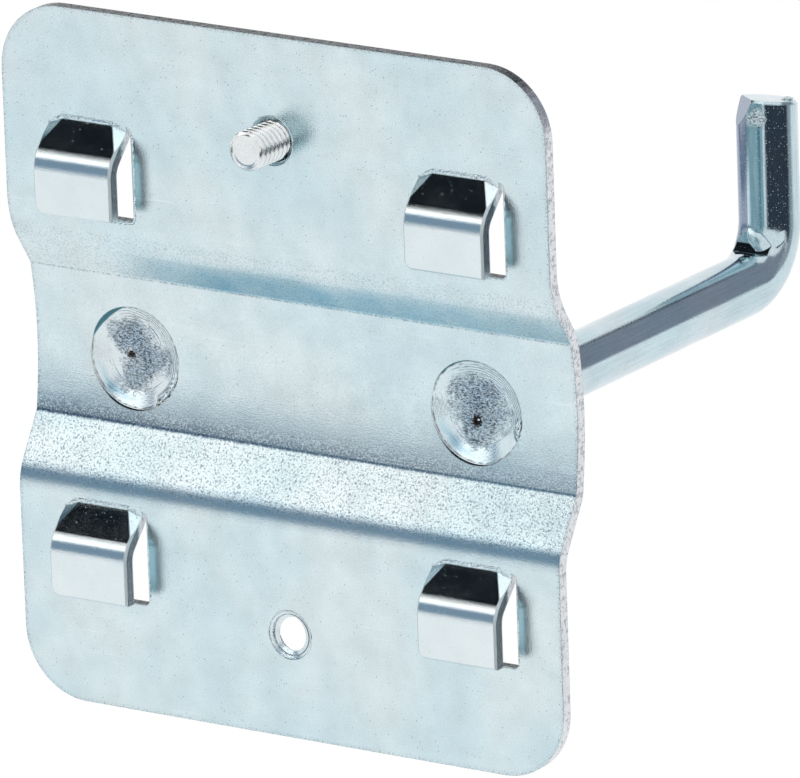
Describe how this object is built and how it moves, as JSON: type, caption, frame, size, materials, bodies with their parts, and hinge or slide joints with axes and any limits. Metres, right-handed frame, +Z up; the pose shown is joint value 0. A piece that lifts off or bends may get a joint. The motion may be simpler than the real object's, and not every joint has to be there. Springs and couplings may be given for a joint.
{
  "type": "double tool holder",
  "caption": "Pressed steel plate with lanced hook tabs for a perforated panel, upturned round hook rods welded to its front, and a locking screw.",
  "frame": {"origin": "middle of the plate's back face, the plane that lies against the panel", "axes": "+Y toward the panel, -Y along the hook rods, +Z up, X across the plate"},
  "size_m": [0.0616, 0.0632, 0.069],
  "materials": {
    "zinc_sheet": "satin blue-passivated zinc plate on pressed sheet",
    "zinc_bar": "smooth blue-passivated zinc plate on drawn bar",
    "zinc_screw": "bright zinc plate on rolled thread"
  },
  "bodies": {
    "holder": {"base_plate": "zinc_sheet", "left_hook_rod": "zinc_bar", "right_hook_rod": "zinc_bar"},
    "locking_screw": {"locking_screw": "zinc_screw"}
  },
  "joints": [
    {"name": "locking_screw_travel", "type": "slide", "parent": "holder", "child": "locking_screw", "axis": [0, 1, 0], "range_m": [-0.0042, 0.0021]}
  ]
}
